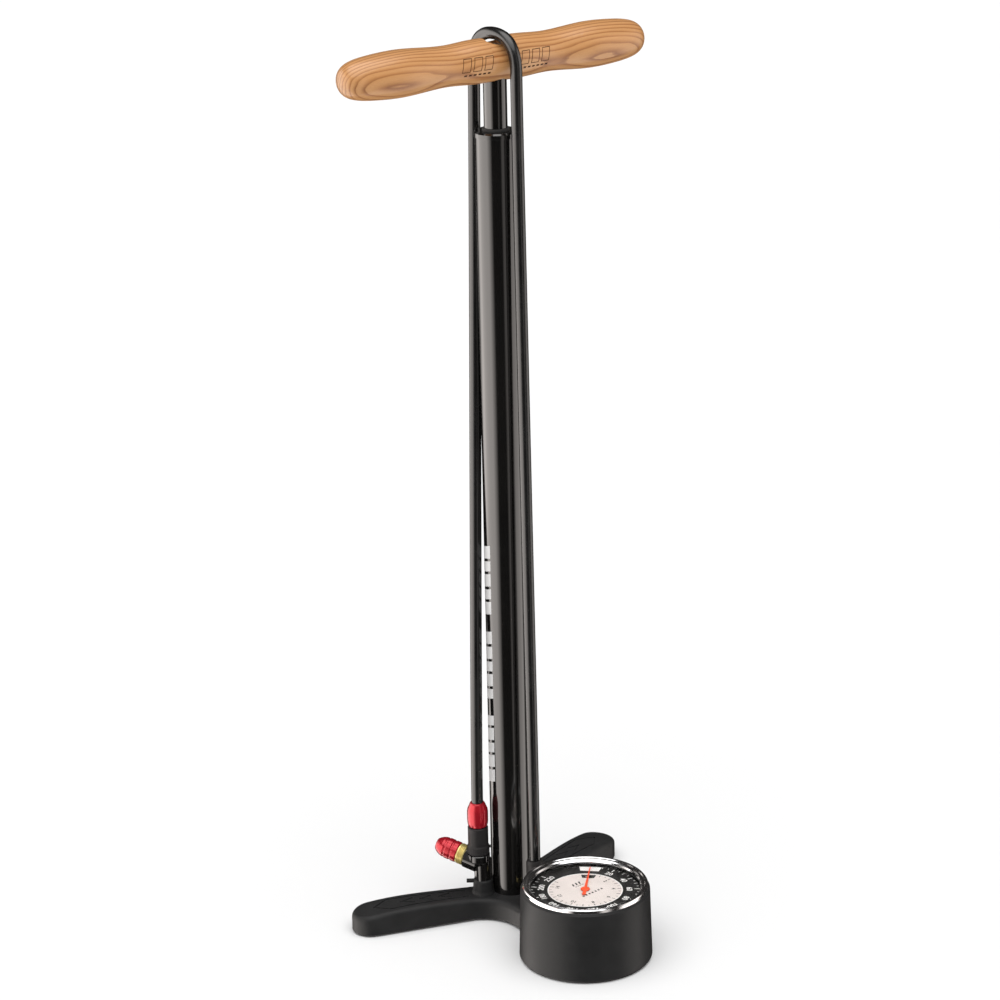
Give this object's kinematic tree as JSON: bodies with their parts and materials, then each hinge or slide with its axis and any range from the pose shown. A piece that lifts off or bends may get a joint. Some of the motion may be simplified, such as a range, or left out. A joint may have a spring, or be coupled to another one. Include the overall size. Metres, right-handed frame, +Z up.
{
  "type": "floor bike pump",
  "caption": "Floor pump with a steel barrel, wooden T-handle, footed cast base, large dial gauge in a round shroud, and a hose looped over the handle to a docked chuck.",
  "frame": {"origin": "on the floor, under the middle of the pump's footprint box", "axes": "+Z up along the barrel, handle along X, gauge in front of the barrel towards -Y"},
  "size_m": [0.242, 0.1842, 0.6441],
  "materials": {
    "casting_black": "semi-matt black textured powder coat on cast aluminium",
    "enamel_black": "high-gloss black enamel",
    "hose_rubber": "smooth glossy black rubber",
    "rubber_black": "matt black rubber",
    "steel": "ground bright steel",
    "chrome_ring": "polished, slightly brushed round the ring",
    "brass": "turned, bright",
    "red_anodised": "satin red anodised",
    "black_anodised": "satin black anodised",
    "ash_wood": "clear varnish over open, wavy grain",
    "lens": "clear polished",
    "dial_black": "satin black print with white marks",
    "needle_red": "satin signal orange-red",
    "shroud_black": "fine-grained matt black",
    "acetal": "natural white bearing plastic"
  },
  "bodies": {
    "base": {"base_casting": "casting_black", "foot_pads": "rubber_black", "case_screws": "steel", "barrel_tube": "enamel_black", "barrel_cap": "enamel_black", "cap_seal": "rubber_black", "rod_guide": "acetal", "rod_wiper": "rubber_black", "foot_plug": "black_anodised", "foot_seal": "rubber_black", "check_spring": "steel", "hose": "hose_rubber", "hose_barb": "brass", "lower_ferrule": "black_anodised", "chuck_ferrule": "red_anodised", "swivel_tail": "brass", "chuck_dock": "enamel_black", "dock_spigot": "steel", "dock_screw": "steel", "dock_pin": "black_anodised", "gauge_shroud": "shroud_black", "gauge_case": "steel", "gauge_gasket": "rubber_black", "gauge_lens": "lens", "gauge_bezel": "chrome_ring", "dial_plate": "dial_black", "gauge_stem": "brass", "bourdon_tube": "brass", "movement_plates": "brass", "needle_stop": "steel"},
    "plunger": {"piston_rod": "enamel_black", "piston_head": "acetal", "piston_seal": "rubber_black", "piston_screw": "steel", "bump_stop": "rubber_black", "handle": "ash_wood", "rod_insert": "steel", "handle_bolt": "steel"},
    "valve_ball": {"check_ball": "steel"},
    "chuck": {"chuck_body": "black_anodised", "chuck_ring": "black_anodised", "chuck_seal": "rubber_black"},
    "button": {"bleed_button": "black_anodised"},
    "adapter": {"adapter_shank": "brass", "adapter_thread": "brass", "adapter_sleeve": "red_anodised", "adapter_seal": "rubber_black"},
    "needle": {"gauge_needle": "needle_red", "pinion_shaft": "steel"},
    "sector": {"sector_gear": "brass"},
    "link": {"movement_link": "steel"}
  },
  "joints": [
    {"name": "plunger_slide", "type": "slide", "parent": "base", "child": "plunger", "axis": [0, 0, 1], "range_m": [0, 0.498], "deforming": ["hose"]},
    {"name": "valve_lift", "type": "slide", "parent": "base", "child": "valve_ball", "axis": [0, 0, -1], "range_m": [0, 0.0015], "stiffness_N_per_m": 40, "springref_m": -0.003, "deforming": ["check_spring"]},
    {"name": "chuck_swivel", "type": "hinge", "parent": "base", "child": "chuck", "pos_m": [-0.024, 0.05168, 0.06], "axis": [0, 0, 1], "continuous": true},
    {"name": "button_press", "type": "slide", "parent": "chuck", "child": "button", "axis": [-0.8192, 0.5736, 0], "range_m": [0, 0.0008], "stiffness_N_per_m": 300, "springref_m": -0.001},
    {"name": "adapter_pull", "type": "slide", "parent": "base", "child": "adapter", "axis": [-0.5274, 0.8059, 0.2689], "range_m": [0, 0.03]},
    {"name": "sector_turn", "type": "hinge", "parent": "base", "child": "sector", "pos_m": [0.024, -0.04532, 0.0312], "axis": [0, 0, 1], "range_deg": [0, 33.3], "stiffness_Nm_per_rad": 0.004, "springref_deg": -11.46},
    {"name": "needle_turn", "type": "hinge", "parent": "base", "child": "needle", "pos_m": [0, -0.04532, 0.0312], "axis": [0, 0, -1], "range_deg": [0, 300]},
    {"name": "link_turn", "type": "hinge", "parent": "sector", "child": "link", "pos_m": [0.02555, -0.05112, 0.028], "axis": [0, 0, -1], "range_deg": [0, 34]}
  ],
  "couplings": [
    {"joint": "needle_turn", "follows": "sector_turn", "ratio": 9},
    {"joint": "link_turn", "follows": "sector_turn", "ratio": 1}
  ]
}
